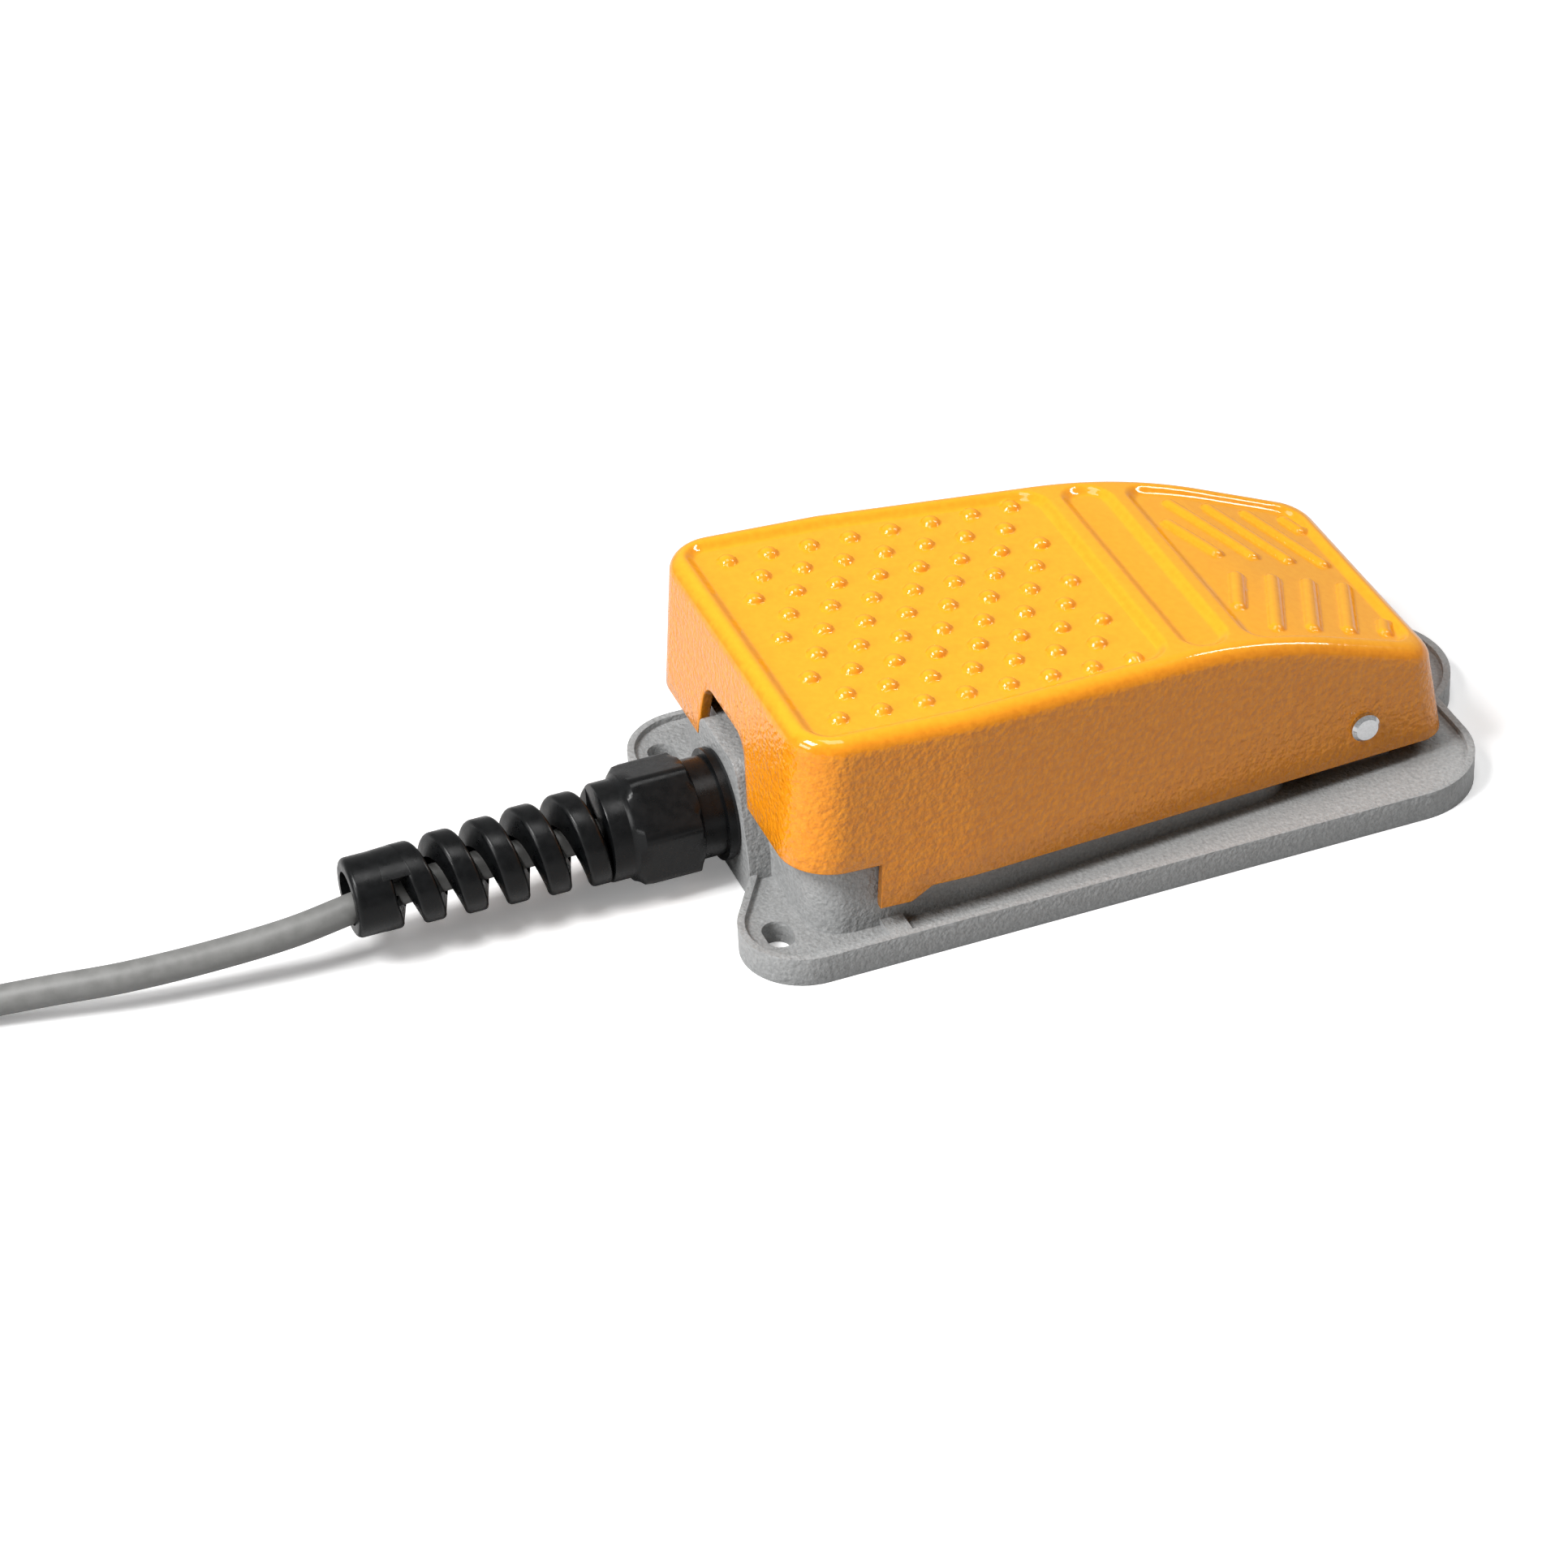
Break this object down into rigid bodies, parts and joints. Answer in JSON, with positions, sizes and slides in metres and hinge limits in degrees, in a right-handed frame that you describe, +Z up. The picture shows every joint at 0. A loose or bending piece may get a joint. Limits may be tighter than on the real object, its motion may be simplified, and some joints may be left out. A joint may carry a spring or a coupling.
{
  "type": "foot switch",
  "caption": "Die-cast foot switch with an orange studded pedal on a grey base, a snap switch inside and a cord that leaves through a spiral bend guard.",
  "frame": {"origin": "on the table under the middle of the base plate's outline", "axes": "+X across the pedal to the right seen from the heel, +Y from heel to toe where the cord leaves, +Z up"},
  "size_m": [0.1717, 0.4558, 0.0588],
  "materials": {
    "base_paint": "grey hammered enamel on die-cast aluminium, satin gloss",
    "pedal_paint": "orange hammered enamel on die-cast aluminium, glossy",
    "bright_steel": "turned steel, bright",
    "zinc_steel": "zinc-plated steel",
    "spring_steel": "oil-tempered spring wire",
    "bronze": "sintered bronze, dull",
    "contact_brass": "stamped brass",
    "case_plastic": "moulded black thermoset",
    "white_plastic": "moulded white nylon",
    "gland_nylon": "moulded black nylon, soft sheen",
    "black_rubber": "moulded black rubber",
    "cord_jacket": "grey extruded cord jacket, matte",
    "core_blue": "blue core insulation",
    "core_brown": "brown core insulation",
    "plug_metal": "nickel-plated contact",
    "plug_plastic": "moulded black grip"
  },
  "bodies": {
    "base": {"base_casting": "base_paint", "anti_slip_pads": "black_rubber", "pivot_bushes": "bronze", "return_springs": "spring_steel", "switch_bracket": "zinc_steel", "bracket_screws": "zinc_steel", "switch_case": "case_plastic", "switch_cover": "case_plastic", "switch_screws": "zinc_steel", "switch_nuts": "zinc_steel", "terminal_common": "contact_brass", "terminal_open": "contact_brass", "terminal_closed": "contact_brass", "lever_pin": "bright_steel", "earth_screw": "contact_brass", "gland_body": "gland_nylon", "gland_washer": "black_rubber", "gland_locknut": "gland_nylon", "gland_seal": "black_rubber", "gland_nut": "gland_nylon", "core_wire_common": "core_blue", "core_wire_open": "core_brown", "cord_tube": "cord_jacket", "cord_coil": "cord_jacket", "cord_tail": "cord_jacket", "cord_tie": "black_rubber", "plug_grip": "plug_plastic", "plug_sleeve": "plug_metal", "plug_ring": "plug_metal", "plug_tip": "plug_metal", "plug_insulators": "plug_plastic"},
    "pedal": {"pedal_casting": "pedal_paint", "pivot_pin": "bright_steel", "pusher_screw": "zinc_steel", "pusher_locknut": "zinc_steel"},
    "lever": {"switch_lever": "zinc_steel", "roller_pin": "bright_steel"},
    "roller": {"lever_roller": "white_plastic"},
    "plunger": {"switch_plunger": "white_plastic"},
    "blade": {"contact_blade": "contact_brass"}
  },
  "joints": [
    {"name": "pedal_press", "type": "hinge", "parent": "base", "child": "pedal", "pos_m": [0, -0.0562, 0.0201], "axis": [-1, 0, 0], "range_deg": [0, 2.4], "stiffness_Nm_per_rad": 20, "springref_deg": -4.58, "deforming": ["return_springs"]},
    {"name": "lever_swing", "type": "hinge", "parent": "base", "child": "lever", "pos_m": [0, -0.013, 0.0308], "axis": [-1, 0, 0], "range_deg": [0, 6.95]},
    {"name": "roller_spin", "type": "hinge", "parent": "lever", "child": "roller", "pos_m": [0, 0.0095, 0.03635], "axis": [1, 0, 0], "continuous": true},
    {"name": "plunger_slide", "type": "slide", "parent": "base", "child": "plunger", "axis": [0, 0, -1], "range_m": [0, 0.0011]},
    {"name": "blade_rock", "type": "hinge", "parent": "base", "child": "blade", "pos_m": [0, -0.0085, 0.0216], "axis": [-1, 0, 0], "range_deg": [0, 10.1]}
  ],
  "couplings": [
    {"joint": "lever_swing", "follows": "pedal_press", "ratio": 2.8783},
    {"joint": "plunger_slide", "follows": "pedal_press", "m_per_rad": 0.025602},
    {"joint": "blade_rock", "follows": "pedal_press", "ratio": 4.1667}
  ]
}
